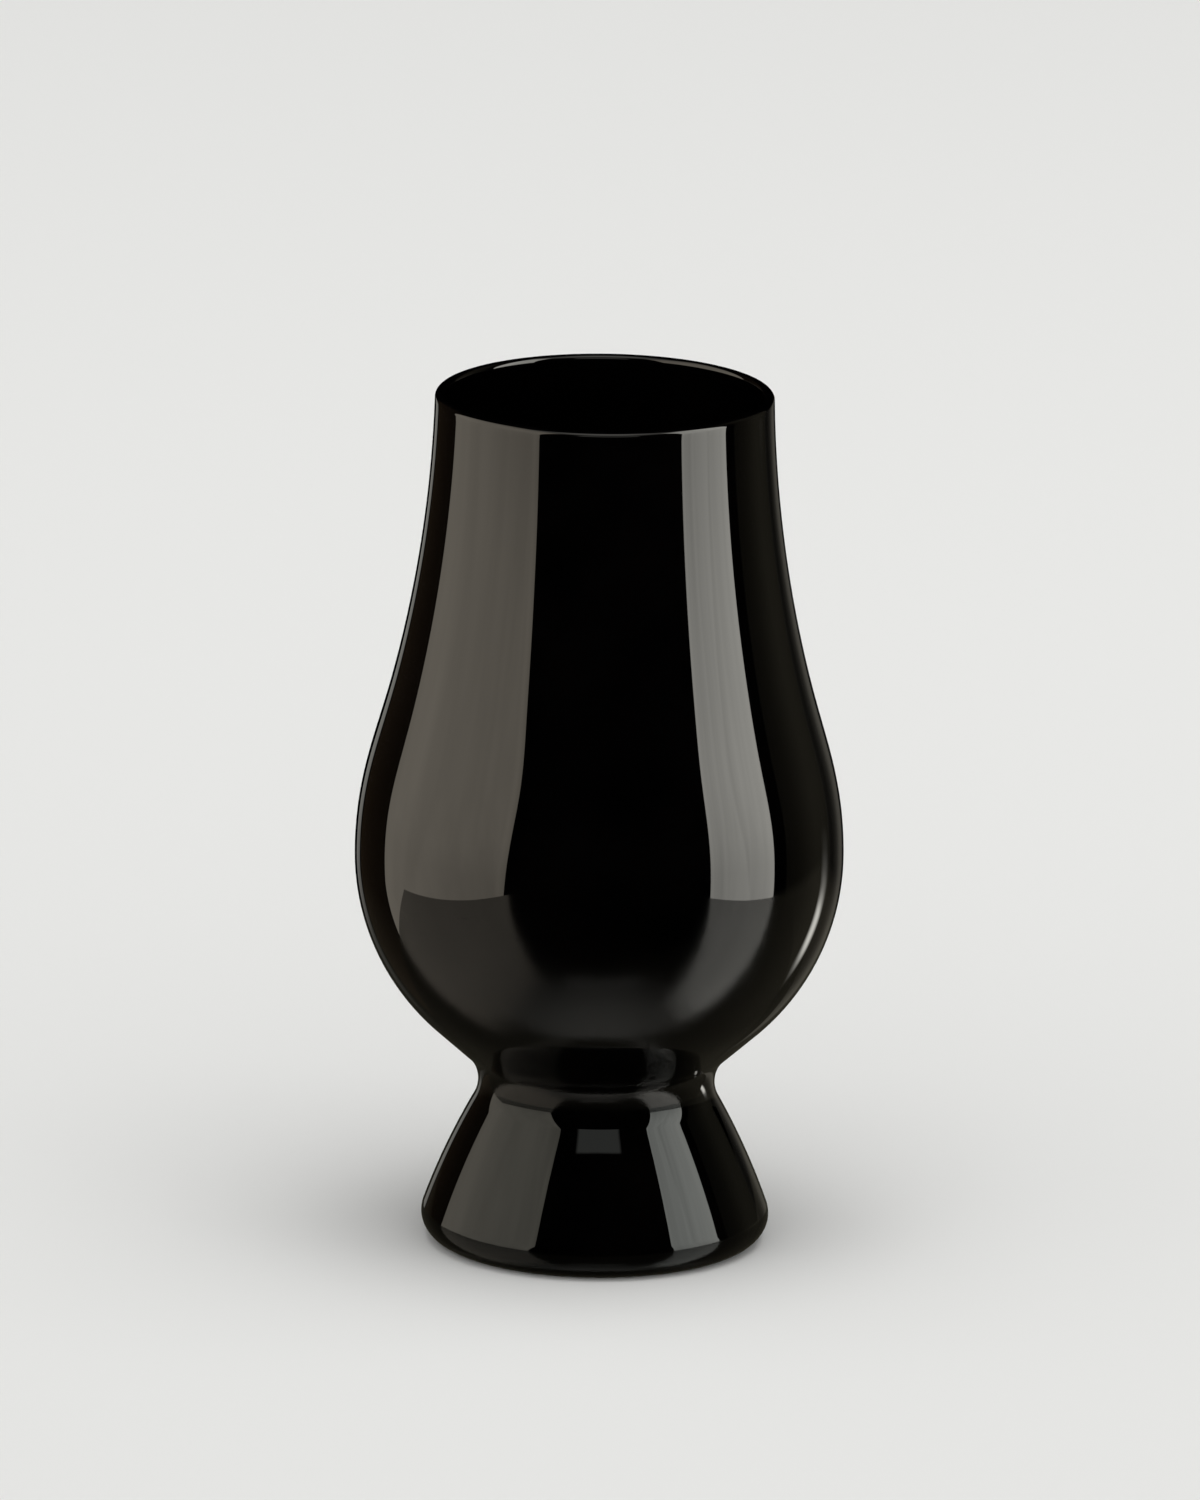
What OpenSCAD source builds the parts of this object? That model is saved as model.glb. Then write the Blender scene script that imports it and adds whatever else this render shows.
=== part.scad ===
// Whisky nosing glass in opaque black glass: a blown tulip bowl welded hot to a solid pressed foot.
// Millimetres, +Z up. The origin is the centre of the ring that the foot rests on.
// Both pieces are turned round Z, from outlines whose arcs run into each other without a break.

/* [Whole glass] */
// Height from the table to the top of the rim
height = 115; // [105:0.5:125]

/* [Mouth and chimney] */
// Outside diameter just under the rounded rim
rim_d = 44.6; // [40:0.2:49]
// Thickness of the glass at the rim, which is fully rounded
rim_wall = 1.1; // [0.8:0.05:1.8]
// How far the wall still leans inwards at the rim, in degrees from upright
rim_lean = 1.4; // [0:0.1:4]

/* [Belly] */
// Outside diameter at the widest place
belly_d = 64.5; // [58:0.5:71]
// Radius of the outline above the widest place
shoulder_r = 51.5; // [44:0.5:60]
// Radius of the outline below the widest place
bowl_r = 31; // [27:0.5:34]
// Slope of the bowl's underside, in degrees from upright
underside_slope = 48; // [42:0.5:54]

/* [Inside of the bowl] */
// Thickness of the glass at the widest place
belly_wall = 1.7; // [1.2:0.05:2.6]
// Inside radius of the outline below the widest place
hollow_r = 26.5; // [23:0.5:28]
// Radius of the gently dished floor
floor_r = 42; // [36:0.5:60]

/* [Neck] */
// Diameter at the waist, where the bowl and the foot are welded together
neck_d = 31.3; // [27:0.1:35]
// Radius of the hollow curve that runs from the bowl to the foot
neck_r = 5.2; // [4:0.1:6.5]

/* [Foot] */
// Height of the foot, up to the waist
foot_h = 21.5; // [18:0.5:26]
// Diameter at the widest place
foot_d = 46; // [41:0.5:51]
// Radius of the rounded bottom edge
foot_edge_r = 3.4; // [2.5:0.1:4.5]
// Radius of the slightly bulging side
foot_side_r = 95; // [60:1:140]
// Diameter of the shallow dome under the foot
dome_d = 30; // [24:0.5:33]
// Height of that dome at its centre
dome_h = 1.6; // [0.8:0.1:3]

/* [Hidden] */

// Turning round Z
$fn = 240;
glass_colour = [0.02, 0.02, 0.022];

// An arc is stepped finely enough for both of these: the length and the turn of one step
step_length = 2;
step_turn = 6;

// Points closer together than this are one point
same_place = 0.001;

// A unit vector at an angle up from level, in the plane of the outline, and the angle of any vector
function toward(angle) = [cos(angle), sin(angle)];
function angle_of(way) = atan2(way.y, way.x);

// Points along an arc of an outline, both ends included
function arc(centre, radius, from, to) =
    let (turn = abs(to - from))
    let (steps = max(1, ceil(turn / step_turn), ceil(radius * turn * PI / 180 / step_length)))
    [for (i = [0:steps]) centre + radius * toward(from + (to - from) * i / steps)];

function backwards(points) = [for (i = [len(points) - 1:-1:0]) points[i]];

// Neighbouring arcs share their end points, which an outline holds once
function without_repeats(points) = [
    for (i = [0:len(points) - 1])
        if (i == 0 || norm(points[i] - points[max(i - 1, 0)]) > same_place) points[i]
];

// Foot: the dome underneath is a slice of a large ball
dome_r = (pow(dome_d / 2, 2) + pow(dome_h, 2)) / (2 * dome_h);
dome_centre = [0, dome_h - dome_r];

// Foot: the rounded edge, and the hollow curve of the neck at the waist
edge_centre = [foot_d / 2 - foot_edge_r, foot_edge_r];
neck_centre = [neck_d / 2 + neck_r, foot_h];

// Foot: the side touches both, so its centre is a known distance from each of theirs
function meeting_point(first, from_first, second, from_second) =
    let (way = second - first, apart = norm(way))
    let (along = (pow(apart, 2) + pow(from_first, 2) - pow(from_second, 2)) / (2 * apart))
    let (aside = sqrt(pow(from_first, 2) - pow(along, 2)))
    first + (along * way + aside * [-way.y, way.x]) / apart;

side_centre = meeting_point(edge_centre, foot_side_r - foot_edge_r, neck_centre, foot_side_r + neck_r);
side_start = angle_of(edge_centre - side_centre);
side_end = angle_of(neck_centre - side_centre);

// Underside: it leaves the neck straight and runs into the lower bowl, which sets the belly's height
underside_out = toward(-underside_slope);
underside_start = neck_centre - neck_r * underside_out;
bowl_x = belly_d / 2 - bowl_r;
belly_z = (underside_start * underside_out - bowl_r - bowl_x * underside_out.x) / underside_out.y;
bowl_centre = [bowl_x, belly_z];

// Rim: a half round whose ends run into the outer and the inner wall
rim_r = rim_wall / 2;
rim_out = toward(rim_lean);
rim_centre = [rim_d / 2 - rim_r * rim_out.x, height - rim_r];

// Hollow: its own arcs, set in from the outside by the walls
hollow_x = belly_d / 2 - belly_wall - hollow_r;
hollow_centre = [hollow_x, belly_z];
floor_centre = [0, belly_z + sqrt(pow(floor_r - hollow_r, 2) - pow(hollow_x, 2))];
floor_edge = angle_of(hollow_centre - floor_centre);

// Shoulder and chimney: two arcs from the widest place up to the rim, joined where their slopes agree
function upper_wall(widest_r, shoulder, rim_point) =
    let (shoulder_centre = [widest_r - shoulder, belly_z])
    let (reach = rim_point - shoulder_centre)
    let (chimney = (reach * reach - pow(shoulder, 2)) / (2 * (shoulder - reach * rim_out)))
    let (chimney_centre = rim_point + chimney * rim_out)
    let (join = angle_of(chimney_centre - shoulder_centre))
    concat(
        arc(shoulder_centre, shoulder, 0, join),
        arc(chimney_centre, chimney, 180 + join, 180 + rim_lean)
    );

foot_outline = concat(
    arc(dome_centre, dome_r, 90, acos(dome_d / 2 / dome_r)),
    arc(edge_centre, foot_edge_r, -90, side_start),
    arc(side_centre, foot_side_r, side_start, side_end),
    arc(neck_centre, neck_r, 180 + side_end, 180),
    [[0, foot_h]]
);

bowl_outline = concat(
    [[0, foot_h]],
    arc(neck_centre, neck_r, 180, 180 - underside_slope),
    arc(bowl_centre, bowl_r, -underside_slope, 0),
    upper_wall(belly_d / 2, shoulder_r, rim_centre + rim_r * rim_out),
    arc(rim_centre, rim_r, rim_lean, 180 + rim_lean),
    backwards(upper_wall(belly_d / 2 - belly_wall, shoulder_r - belly_wall, rim_centre - rim_r * rim_out)),
    arc(hollow_centre, hollow_r, 0, floor_edge),
    arc(floor_centre, floor_r, floor_edge, -90)
);

module turned(outline) {
    color(glass_colour) rotate_extrude() polygon(without_repeats(outline));
}

module bowl() {
    turned(bowl_outline);
}

module foot() {
    turned(foot_outline);
}

bowl();
foot();
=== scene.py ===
"""The whisky nosing glass in polished black glass, in a small studio. Metres, +Z up."""

import math

import bpy
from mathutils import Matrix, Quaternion, Vector


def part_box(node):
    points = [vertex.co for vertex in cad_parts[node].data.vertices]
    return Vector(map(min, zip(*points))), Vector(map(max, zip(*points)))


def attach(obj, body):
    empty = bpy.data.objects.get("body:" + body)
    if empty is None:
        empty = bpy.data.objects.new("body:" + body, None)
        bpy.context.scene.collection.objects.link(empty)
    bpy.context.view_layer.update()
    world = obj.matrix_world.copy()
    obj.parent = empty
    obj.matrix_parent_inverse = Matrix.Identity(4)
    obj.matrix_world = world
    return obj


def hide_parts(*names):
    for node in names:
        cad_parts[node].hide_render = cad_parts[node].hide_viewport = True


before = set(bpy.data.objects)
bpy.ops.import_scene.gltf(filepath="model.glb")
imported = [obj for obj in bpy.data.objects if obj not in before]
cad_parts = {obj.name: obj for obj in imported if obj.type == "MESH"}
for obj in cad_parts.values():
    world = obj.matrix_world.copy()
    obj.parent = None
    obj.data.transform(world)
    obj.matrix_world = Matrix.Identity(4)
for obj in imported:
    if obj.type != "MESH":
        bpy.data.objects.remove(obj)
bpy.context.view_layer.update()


# Sizes of the glass: the frame gives the large ones, and the rest are those of its outline
MM = 0.001
foot_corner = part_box("foot")[1]
bowl_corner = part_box("bowl")[1]
waist_z = foot_corner.z
foot_r = foot_corner.x
belly_r = bowl_corner.x
rim_z = bowl_corner.z

waist_r = 15.65 * MM
neck_curve = 5.2 * MM

edge_curve = 3.4 * MM
side_curve = 95 * MM
dome_r = 15 * MM
dome_h = 1.6 * MM

mouth_r = 22.3 * MM
rim_lean = math.radians(1.4)
shoulder_curve = 51.5 * MM
lower_curve = 31 * MM
underside = math.radians(48)

belly_wall = 1.7 * MM
hollow_curve = 26.5 * MM
floor_curve = 42 * MM

# The lip is rounded a little more broadly than the solid's
lip_curve = 0.7 * MM

# How far from the join of shoulder and chimney each one's bend starts to run into the other's
bend_reach = 12 * MM

# How finely the outlines are stepped, and into how many parts they are turned
STEP_LENGTH = 0.8 * MM
STEP_TURN = math.radians(1.5)
LIP_STEP_TURN = math.radians(7.5)
AROUND = 224
SAME_PLACE = 0.001 * MM
SHARP = math.radians(35)


# Outlines

def toward(angle):
    """A unit vector at an angle up from level, in the plane of the outline."""
    return Vector((math.cos(angle), math.sin(angle)))


def angle_of(way):
    return math.atan2(way.y, way.x)


def arc(centre, radius, start, end, step_turn=STEP_TURN):
    """Points along an arc of an outline, both ends included."""
    turn = abs(end - start)
    steps = max(1, math.ceil(turn / step_turn), math.ceil(radius * turn / STEP_LENGTH))
    return [centre + radius * toward(start + (end - start) * i / steps) for i in range(steps + 1)]


def meeting_point(first, from_first, second, from_second):
    """The point at one distance from each of two centres, to the left of the way between them."""
    way = second - first
    apart = way.length
    along = (apart**2 + from_first**2 - from_second**2) / (2 * apart)
    aside = math.sqrt(from_first**2 - along**2)
    return first + (along * way + aside * Vector((-way.y, way.x))) / apart


neck_centre = Vector((waist_r + neck_curve, waist_z))


def foot_outline():
    """From the dome underneath, round the bottom edge and up the side to the weld."""
    edge_centre = Vector((foot_r - edge_curve, edge_curve))
    side_centre = meeting_point(edge_centre, side_curve - edge_curve, neck_centre, side_curve + neck_curve)
    side_start = angle_of(edge_centre - side_centre)
    side_end = angle_of(neck_centre - side_centre)
    dome_curve = (dome_r**2 + dome_h**2) / (2 * dome_h)
    dome_centre = Vector((0, dome_h - dome_curve))
    return [
        *arc(dome_centre, dome_curve, math.pi / 2, math.acos(dome_r / dome_curve)),
        *arc(edge_centre, edge_curve, -math.pi / 2, side_start),
        *arc(side_centre, side_curve, side_start, side_end),
        *arc(neck_centre, neck_curve, math.pi + side_end, math.pi),
        Vector((0, waist_z)),
    ]


def eased(points, centre, join_point, bend_change):
    """Draws an arc's points a hair towards its centre near a join, so that no bend starts abruptly."""
    # With 12 here, each side takes half of the change in bend at the join itself
    most = bend_change * bend_reach**2 / 12
    moved = []
    for point in points:
        share = max(0, 1 - (point - join_point).length / bend_reach)
        moved.append(point - most * share**3 * (1 - share) * (point - centre).normalized())
    return moved


def upper_wall(widest_r, shoulder, belly_z, rim_point):
    """Two arcs from the widest place up to the rim, joined where their slopes agree."""
    rim_out = toward(rim_lean)
    shoulder_centre = Vector((widest_r - shoulder, belly_z))
    reach = rim_point - shoulder_centre
    chimney = (reach.length_squared - shoulder**2) / (2 * (shoulder - reach.dot(rim_out)))
    chimney_centre = rim_point + chimney * rim_out
    join = angle_of(chimney_centre - shoulder_centre)
    join_point = shoulder_centre + shoulder * toward(join)
    bend_change = 1 / shoulder + 1 / chimney
    shoulder_arc = arc(shoulder_centre, shoulder, 0, join)
    chimney_arc = arc(chimney_centre, chimney, math.pi + join, math.pi + rim_lean)
    return [
        *eased(shoulder_arc, shoulder_centre, join_point, bend_change),
        *eased(chimney_arc, chimney_centre, join_point, bend_change),
    ]


def bowl_outline():
    """From the weld up the outside to the rim, and down the inside to the floor."""
    out = toward(-underside)
    lower_x = belly_r - lower_curve
    underside_start = neck_centre - neck_curve * out
    belly_z = (underside_start.dot(out) - lower_curve - lower_x * out.x) / out.y

    rim_out = toward(rim_lean)
    lip_centre = Vector((mouth_r - lip_curve * rim_out.x, rim_z - lip_curve))

    hollow_centre = Vector((belly_r - belly_wall - hollow_curve, belly_z))
    floor_rise = math.sqrt((floor_curve - hollow_curve)**2 - hollow_centre.x**2)
    floor_centre = Vector((0, belly_z + floor_rise))
    floor_edge = angle_of(hollow_centre - floor_centre)

    outside = upper_wall(belly_r, shoulder_curve, belly_z, lip_centre + lip_curve * rim_out)
    inside = upper_wall(
        belly_r - belly_wall, shoulder_curve - belly_wall, belly_z, lip_centre - lip_curve * rim_out
    )
    return [
        Vector((0, waist_z)),
        *arc(neck_centre, neck_curve, math.pi, math.pi - underside),
        *arc(Vector((lower_x, belly_z)), lower_curve, -underside, 0),
        *outside,
        *arc(lip_centre, lip_curve, rim_lean, math.pi + rim_lean, LIP_STEP_TURN),
        *reversed(inside),
        *arc(hollow_centre, hollow_curve, 0, floor_edge),
        *arc(floor_centre, floor_curve, floor_edge, -math.pi / 2),
    ]


def turned(name, outline):
    """Draws an outline in the XZ plane by extruding one point along it, and spins it round Z."""
    bpy.ops.object.select_all(action="DESELECT")
    bpy.ops.mesh.primitive_plane_add(size=MM, location=(0, 0, 0))
    piece = bpy.context.object
    piece.name = piece.data.name = name
    bpy.ops.object.mode_set(mode="EDIT")
    bpy.ops.mesh.select_all(action="SELECT")
    bpy.ops.mesh.merge(type="CENTER")

    pen = Vector((0, 0))
    for i, point in enumerate(outline):
        step = point - pen
        if i == 0:
            bpy.ops.transform.translate(value=(step.x, 0, step.y))
        elif step.length > SAME_PLACE:
            bpy.ops.mesh.extrude_vertices_move(TRANSFORM_OT_translate={"value": (step.x, 0, step.y)})
        else:
            continue
        pen = point

    bpy.ops.mesh.select_all(action="SELECT")
    bpy.ops.mesh.spin(steps=AROUND, angle=math.tau, center=(0, 0, 0), axis=(0, 0, 1))
    bpy.ops.mesh.select_all(action="SELECT")
    bpy.ops.mesh.remove_doubles(threshold=SAME_PLACE)
    bpy.ops.mesh.normals_make_consistent(inside=False)
    bpy.ops.object.mode_set(mode="OBJECT")
    bpy.ops.object.shade_smooth_by_angle(angle=SHARP)
    return piece


# Materials

class Socket:
    """A node's output that takes part in sums: each operator adds a Math node."""

    def __init__(self, paint, link):
        self.paint = paint
        self.link = link

    def math(self, operation, first, second):
        return self.paint.node("ShaderNodeMath", {"operation": operation}, {0: first, 1: second})

    def __add__(self, other):
        return self.math("ADD", self, other)

    def __radd__(self, other):
        return self.math("ADD", other, self)

    def __sub__(self, other):
        return self.math("SUBTRACT", self, other)

    def __rsub__(self, other):
        return self.math("SUBTRACT", other, self)

    def __mul__(self, other):
        return self.math("MULTIPLY", self, other)

    def __rmul__(self, other):
        return self.math("MULTIPLY", other, self)

    def __truediv__(self, other):
        return self.math("DIVIDE", self, other)

    def __rtruediv__(self, other):
        return self.math("DIVIDE", other, self)

    def __pow__(self, other):
        return self.math("POWER", self, other)

    def __rpow__(self, other):
        return self.math("POWER", other, self)


def grey(level):
    return (level, level, level, 1)


class Paint:
    """One material, and the one method that adds its nodes."""

    def __init__(self, name):
        self.material = bpy.data.materials.new(name)
        self.material.use_nodes = True
        self.tree = self.material.node_tree
        self.tree.nodes.clear()

    def node(self, kind, settings=None, sockets=None, output=0):
        """Adds a node, sets it up, gives its sockets their values or links, and hands back one output."""
        made = self.tree.nodes.new(kind)
        for name, value in (settings or {}).items():
            if name == "stops":
                self.set_stops(made.color_ramp, value)
            else:
                setattr(made, name, value)
        for name, value in (sockets or {}).items():
            if isinstance(value, Socket):
                self.tree.links.new(value.link, made.inputs[name])
            else:
                made.inputs[name].default_value = value
        return Socket(self, made.outputs[output]) if len(made.outputs) else None

    @staticmethod
    def set_stops(ramp, stops):
        while len(ramp.elements) < len(stops):
            ramp.elements.new(1)
        for element, (place, colour) in zip(ramp.elements, stops):
            element.position = place
            element.color = colour

    def noise(self, scale, detail, fineness=(1, 1, 1)):
        """A cloudy pattern that stays put on the piece, finer or coarser along each axis."""
        place = self.node("ShaderNodeTexCoord", output="Object")
        scaled = self.node("ShaderNodeMapping", {}, {"Vector": place, "Scale": fineness})
        sockets = {"Vector": scaled, "Scale": scale, "Detail": detail}
        return self.node("ShaderNodeTexNoise", {}, sockets)

    def run(self, along, shares):
        """A share from 0 to 1 that runs through the given stops as a value goes from 0 to 1."""
        stops = [(at, grey(share)) for at, share in shares]
        return self.node("ShaderNodeValToRGB", {"stops": stops}, {"Fac": along})

    def finish(self, surface):
        self.node("ShaderNodeOutputMaterial", {}, {"Surface": surface})
        return self.material


# The glass is black right through, with the faintest of clouds in it
GLASS_IOR = 1.52
DEEP_BLACK = (0.0002, 0.0002, 0.0003, 1)
SMOKY_BLACK = (0.0010, 0.0008, 0.0008, 1)
CLOUD_SCALE = 70
CLOUD_DETAIL = 3
DEEP_BELOW = 0.35
SMOKY_ABOVE = 0.7

# Its polish, and the wiped fingermarks on it
CLEAN_ROUGHNESS = 0.012
SMEAR_ROUGHNESS = 0.03
SMEAR_CONTRAST = 3
SMEAR_SCALE = 45
SMEAR_DETAIL = 5
SMEAR_FINENESS = (1, 1, 3)
RIPPLE_DETAIL = 1.5

# Tints of its reflections
CLEAR = (1, 1, 1, 1)
COOL = (0.94, 1, 1.02, 1)


def black_glass(name, ripple_scale, ripple_fineness, ripple_height, gloss, tint):
    """Opaque black glass, fire-polished: nearly a mirror, with faint ripples and wiped fingermarks."""
    paint = Paint(name)
    cloud = paint.noise(CLOUD_SCALE, CLOUD_DETAIL)
    blacks = [(DEEP_BELOW, DEEP_BLACK), (SMOKY_ABOVE, SMOKY_BLACK)]
    colour = paint.node("ShaderNodeValToRGB", {"stops": blacks}, {"Fac": cloud})
    smear = paint.noise(SMEAR_SCALE, SMEAR_DETAIL, SMEAR_FINENESS)
    roughness = CLEAN_ROUGHNESS + SMEAR_ROUGHNESS * smear**SMEAR_CONTRAST
    ripple = paint.noise(ripple_scale, RIPPLE_DETAIL, ripple_fineness)
    bump = paint.node(
        "ShaderNodeBump", {}, {"Strength": 1, "Distance": ripple_height, "Height": ripple}
    )
    glass = paint.node(
        "ShaderNodeBsdfPrincipled",
        {},
        {
            "Base Color": colour,
            "Roughness": roughness,
            "IOR": GLASS_IOR,
            "Specular IOR Level": gloss,
            "Specular Tint": tint,
            "Normal": bump,
        },
    )
    return paint.finish(glass)


def dress(piece, material, node):
    """The piece takes its finish, stands for its CAD node and rides on the part's one body."""
    piece.data.materials.append(material)
    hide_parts(node)
    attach(piece, "root")


blown_glass = black_glass(
    "blown_black_glass",
    ripple_scale=90,
    ripple_fineness=(1, 1, 0.25),
    ripple_height=0.004 * MM,
    gloss=0.5,
    tint=CLEAR,
)
bowl = turned("tulip_bowl", bowl_outline())
dress(bowl, blown_glass, "bowl")

# The pressed foot shines less than the blown bowl
pressed_glass = black_glass(
    "pressed_black_glass",
    ripple_scale=400,
    ripple_fineness=(1, 1, 0.4),
    ripple_height=0.003 * MM,
    gloss=0.29,
    tint=COOL,
)
foot = turned("solid_foot", foot_outline())
dress(foot, pressed_glass, "foot")


# The studio: panels of light that only reflections show, and a pale floor

HALF = 0.5
EVEN = [(0, 1), (1, 1)]

WARM = (1.13, 1.02, 0.85)
NEUTRAL = (1.04, 1.02, 0.94)
SAND = (1.1, 1.03, 0.87)
OLIVE = (1.17, 1.07, 0.77)
BROWN = (1.45, 1.0, 0.6)

WRINKLE_DEPTH = 0.38
WRINKLE_SCALE = 1
WRINKLE_DETAIL = 3
SEAM_WIDTH = 0.03
SEAM_DEPTH = 0.13

SHEET_GLOSS = 0.27
SHEET_ROUGHNESS = 0.2

FLOOR_COLOUR = (0.82, 0.82, 0.81, 1)
FLOOR_ROUGHNESS = 0.9
FLOOR_RADIUS = 6
FLOOR_SIDES = 96

LAMP_PLACE = (0.15, -0.1, 1.4)
LAMP_SIZE = 1.2
LAMP_POWER = 10

AIR_COLOUR = (0.9, 0.9, 0.89, 1)
AIR_STRENGTH = 0.7


def card(name, corner, across, up, material, flare=(0, 0, 0)):
    """
    A flat panel from one corner along two edges, which only reflections show.

    A flare moves the far end of the edge that goes up.
    """
    bpy.ops.object.select_all(action="DESELECT")
    bpy.ops.mesh.primitive_plane_add(size=1, location=(0, 0, 0))
    panel = bpy.context.object
    panel.name = name
    corner, across, up, flare = (Vector(part) for part in (corner, across, up, flare))
    for vertex in panel.data.vertices:
        u = vertex.co.x + HALF
        v = vertex.co.y + HALF
        vertex.co = corner + across * u + up * v + flare * (1 - u) * v
    panel.data.materials.append(material)
    panel.visible_camera = False
    panel.visible_diffuse = False
    panel.visible_shadow = False


def glow(
    name, strength, tint, shares_across=EVEN, shares_up=EVEN, wrinkles=None, seam=None, lifted=None
):
    """
    Light of a panel, in shares that run across it and up it; where it gives less, it is see-through.

    Wrinkles are their fineness along each axis. A seam is its place across the panel and its lean.
    Lifted is where a bowed lower edge is lowest, and how far it lifts a panel's width from there.
    """
    paint = Paint(name)
    place = paint.node("ShaderNodeTexCoord", output="UV")
    u = paint.node("ShaderNodeSeparateXYZ", {}, {"Vector": place}, output="X")
    v = paint.node("ShaderNodeSeparateXYZ", {}, {"Vector": place}, output="Y")
    if lifted:
        lowest, lift = lifted
        v = v - lift * ((u - lowest) * (u - lowest))
    level = paint.run(u, shares_across) * paint.run(v, shares_up)
    if wrinkles:
        wrinkle = paint.noise(WRINKLE_SCALE, WRINKLE_DETAIL, wrinkles)
        level = level * (1 + WRINKLE_DEPTH * (wrinkle - HALF))
    if seam:
        middle, lean = seam
        away = (u - middle + lean * (v - HALF)) / SEAM_WIDTH
        level = level * (1 - SEAM_DEPTH * away / (1 + away * away))
    light = paint.node("ShaderNodeEmission", {}, {"Color": (*tint, 1), "Strength": strength})
    clear = paint.node("ShaderNodeBsdfTransparent")
    return paint.finish(paint.node("ShaderNodeMixShader", {}, {0: level, 1: clear, 2: light}))


def black_sheet():
    paint = Paint("glossy_black_sheet")
    sockets = {"Color": grey(SHEET_GLOSS), "Roughness": SHEET_ROUGHNESS}
    return paint.finish(paint.node("ShaderNodeBsdfGlossy", {}, sockets))


def pale_floor():
    paint = Paint("pale_floor")
    sockets = {"Color": FLOOR_COLOUR, "Roughness": FLOOR_ROUGHNESS}
    return paint.finish(paint.node("ShaderNodeBsdfDiffuse", {}, sockets))


card(
    "left_softbox", corner=(-0.75, -0.666, -0.6), across=(0, 1.086, 0), up=(0, 0, 2.1),
    flare=(0, -0.45, 0),
    material=glow(
        "left_softbox_light", strength=1.82, tint=WARM,
        shares_across=[
            (0, 0.86), (0.03, 0.95), (0.05, 0.99), (0.08, 0.9), (0.12, 0.89),
            (0.3, 0.94), (0.45, 0.93), (0.6, 0.89), (0.8, 0.8), (1, 0.58),
        ],
        shares_up=[
            (0.2, 0.8), (0.26, 0.83), (0.3, 0.91), (0.36, 0.96),
            (0.42, 1), (0.6, 1), (0.87, 0.7), (1, 0.25),
        ],
        wrinkles=(0, 5, 3),
    ),
)
card(
    "right_softbox", corner=(0.75, -0.568, -0.6), across=(0, 0.552, 0), up=(0, 0, 2.1),
    material=glow(
        "right_softbox_light", strength=5.2, tint=NEUTRAL,
        shares_across=[
            (0, 0.83), (0.025, 0.9), (0.045, 0.91), (0.08, 0.83), (0.18, 0.82),
            (0.32, 0.86), (0.6, 0.92), (0.8, 0.97), (0.96, 1), (1, 0.92),
        ],
        shares_up=[(0.2, 0.7), (0.27, 0.74), (0.33, 0.85), (0.42, 0.95), (0.75, 0.95), (1, 0.5)],
        wrinkles=(0, 16, 2),
        seam=(0.41, 0.85),
    ),
)
card(
    "overhead_light", corner=(-0.62, -0.86, 0.9), across=(1.24, 0, 0), up=(0, 0.86, 0),
    material=glow(
        "overhead_light", strength=1.25, tint=NEUTRAL,
        shares_across=[
            (0, 0), (0.1, 0.35), (0.2, 0.5), (0.34, 0.85), (0.44, 1),
            (0.62, 1), (0.8, 0.5), (0.9, 0.3), (1, 0),
        ],
        shares_up=[(0, 0), (0.2, 0.5), (0.54, 0.95), (0.86, 1), (1, 0.3)],
    ),
)
card(
    "left_rear_glow", corner=(-0.46, 0.9, -0.6), across=(0.18, 0, 0), up=(0, 0, 0.62),
    material=glow(
        "left_rear_light", strength=0.42, tint=NEUTRAL,
        shares_across=[(0, 0), (0.15, 1), (0.85, 1), (1, 0)],
        shares_up=[(0, 0), (0.25, 0.1), (0.4, 0.15), (0.56, 0.5), (0.8, 0.85), (1, 1)],
    ),
)
card(
    "right_rear_glow", corner=(0.24, 0.9, -0.6), across=(0.6, 0, 0), up=(0, 0, 0.66),
    material=glow(
        "right_rear_light", strength=0.18, tint=SAND,
        shares_across=[
            (0, 0), (0.12, 1), (0.3, 0.9), (0.45, 0.45), (0.58, 0.25), (0.75, 0.12), (1, 0.2),
        ],
        shares_up=[(0, 0.6), (0.7, 0.7), (1, 1)],
    ),
)
card(
    "right_wall", corner=(0.8, 0.1, -0.9), across=(0, 0.8, 0), up=(0, 0, 2.1),
    material=glow(
        "right_wall_light", strength=0.078, tint=OLIVE,
        shares_across=[(0, 0.4), (0.16, 0.55), (0.38, 0.9), (0.52, 1), (0.87, 0.65), (1, 0.3)],
        shares_up=[(0, 0.6), (0.33, 0.7), (0.45, 1), (1, 0.8)],
    ),
)
card(
    "left_rear_cloth", corner=(-0.76, 0.44, -0.9), across=(0.28, 0.43, 0), up=(0, 0, 1.6),
    material=glow("left_rear_cloth_light", strength=0.018, tint=BROWN),
)
card(
    "low_rear_lamp", corner=(0.57, 0.6, -0.62), across=(0.21, 0, 0), up=(0, 0, 0.55),
    material=glow(
        "low_rear_light", strength=3.4, tint=NEUTRAL,
        shares_across=[(0, 0), (0.36, 1), (0.6, 1), (1, 0)],
        shares_up=[
            (0.1, 0), (0.19, 0.15), (0.27, 0.46), (0.33, 0.76), (0.4, 1), (0.6, 0.95),
            (0.67, 0.5), (0.74, 0.24), (0.79, 0.16), (0.83, 0.08), (0.9, 0.025), (1, 0),
        ],
    ),
)
card(
    "small_front_card", corner=(-0.0855, -0.25, 0.2), across=(0.2, 0, 0), up=(0, 0, 0.064),
    material=glow(
        "small_front_light", strength=0.78, tint=NEUTRAL,
        shares_across=[(0, 0), (0.07, 1), (0.93, 1), (1, 0)],
        shares_up=[(0, 0), (0.05, 1), (1, 1)],
        lifted=(0.4175, 0.51),
    ),
)

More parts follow.
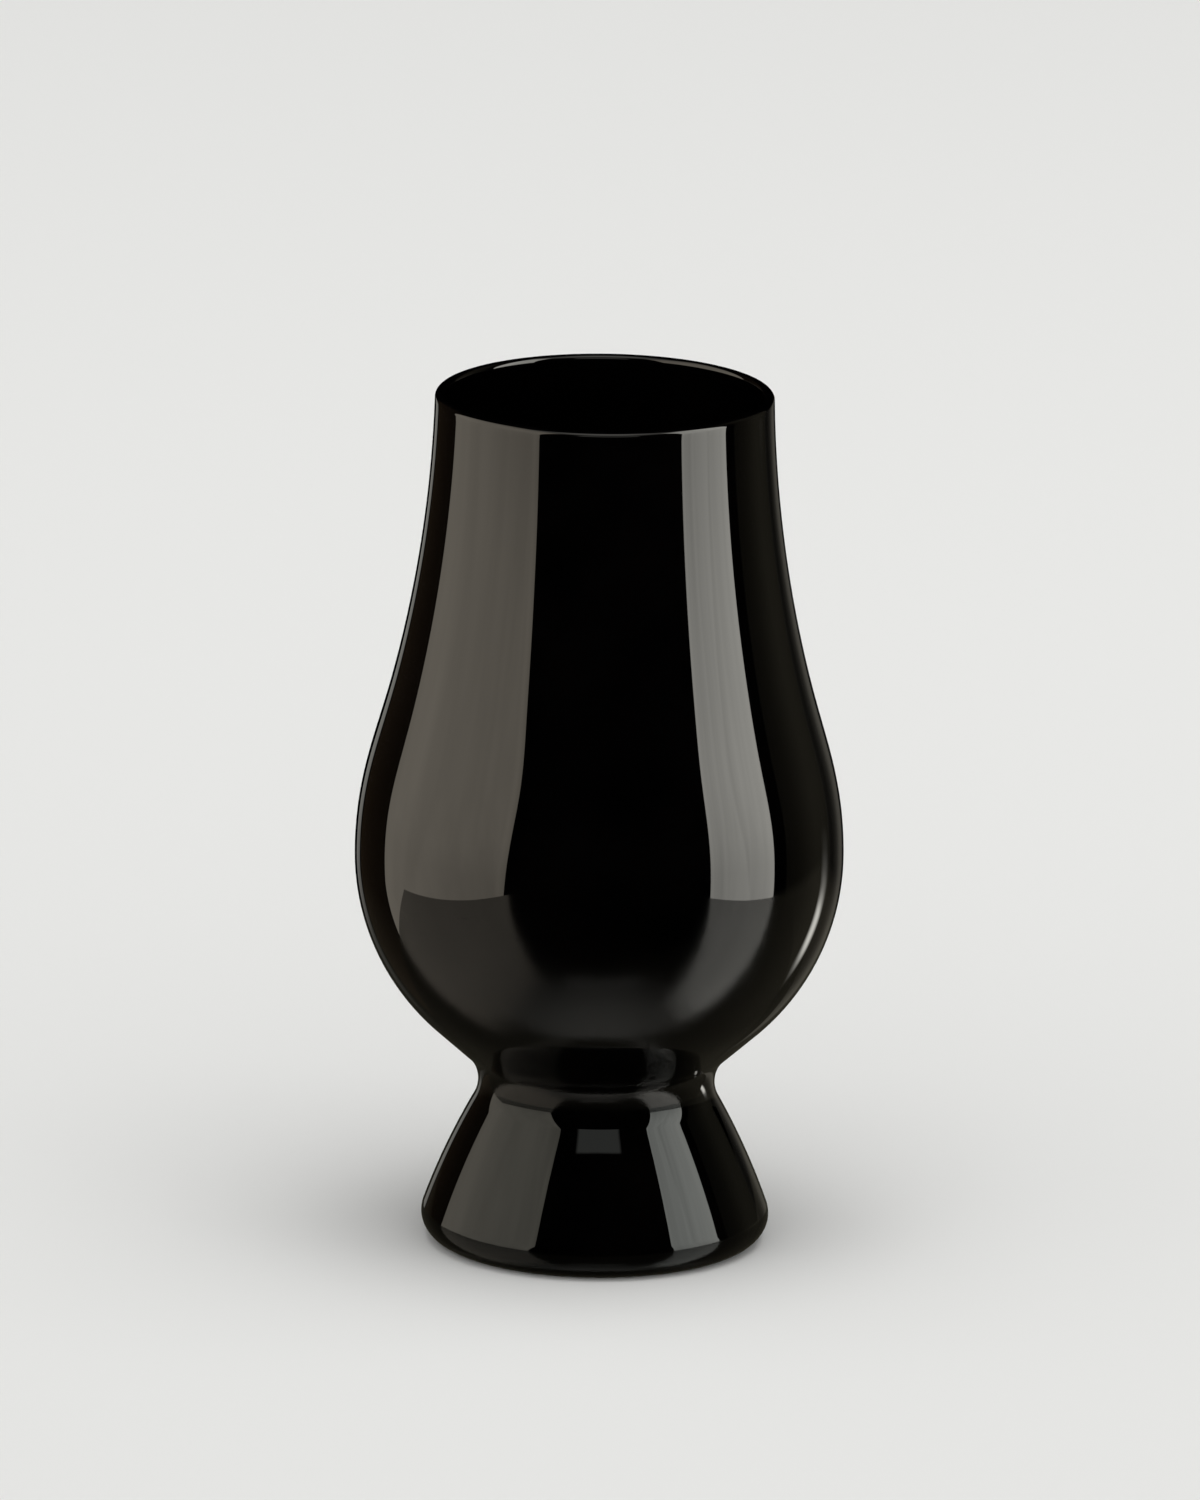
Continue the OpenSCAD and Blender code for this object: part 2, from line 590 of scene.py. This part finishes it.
# The table as only the glass shows it: a faint haze of light, and a dark glossy sheet
card(
    "table_haze", corner=(-0.14, -0.1, 0.0001), across=(0.39, 0, 0), up=(0, 0.26, 0),
    material=glow(
        "table_haze_light", strength=1, tint=OLIVE,
        shares_across=[
            (0, 0), (0.12, 0.012), (0.3, 0.025), (0.45, 0.035), (0.62, 0.05), (0.9, 0.05), (1, 0),
        ],
        shares_up=[(0, 0), (0.12, 0.3), (0.23, 0.8), (0.42, 1), (0.77, 1), (1, 0)],
    ),
)
card(
    "table_sheet", corner=(-0.21, -0.45, -0.0001), across=(0.435, -0.012, 0), up=(0, 0.48, 0),
    material=black_sheet(),
)

bpy.ops.object.select_all(action="DESELECT")
bpy.ops.mesh.primitive_circle_add(
    vertices=FLOOR_SIDES, radius=FLOOR_RADIUS, fill_type="NGON", location=(0, 0, 0)
)
floor = bpy.context.object
floor.name = "floor"
floor.data.materials.append(pale_floor())
floor.visible_glossy = False

# The floor is lit by a soft lamp and the even air, which no reflection shows
lamp = bpy.data.lights.new("soft_overhead", "AREA")
lamp.shape = "SQUARE"
lamp.size = LAMP_SIZE
lamp.energy = LAMP_POWER
lamp_object = bpy.data.objects.new("soft_overhead", lamp)
lamp_object.location = LAMP_PLACE
lamp_object.visible_glossy = False
lamp_object.visible_camera = False
bpy.context.scene.collection.objects.link(lamp_object)

world = bpy.data.worlds.new("studio_air")
world.use_nodes = True
background = world.node_tree.nodes["Background"]
background.inputs["Color"].default_value = AIR_COLOUR
background.inputs["Strength"].default_value = AIR_STRENGTH
world.cycles_visibility.glossy = False
bpy.context.scene.world = world
bpy.context.scene.view_settings.view_transform = "Standard"


# The camera looks at the glass from the photograph's angle, turned a little about its own line of sight
CAMERA_BACK = 2.6
CAMERA_ASIDE = -0.06 * MM
CAMERA_HEIGHT = 0.753
CAMERA_PITCH = math.radians(14.79)
CAMERA_ROLL = math.radians(0.717)
CAMERA_FAR_END = 20
FOCAL_PIXELS = 20411
LONG_SIDE_PIXELS = 1500

lens = bpy.data.cameras.new("camera")
lens.lens = FOCAL_PIXELS * lens.sensor_width / LONG_SIDE_PIXELS
lens.clip_end = CAMERA_FAR_END
camera = bpy.data.objects.new("camera", lens)
camera.location = (CAMERA_ASIDE, -CAMERA_BACK, CAMERA_HEIGHT)
sight = Vector((0, math.cos(CAMERA_PITCH), -math.sin(CAMERA_PITCH)))
camera.rotation_mode = "QUATERNION"
camera.rotation_quaternion = sight.to_track_quat("-Z", "Y") @ Quaternion((0, 0, 1), CAMERA_ROLL)
bpy.context.scene.collection.objects.link(camera)
bpy.context.scene.camera = camera
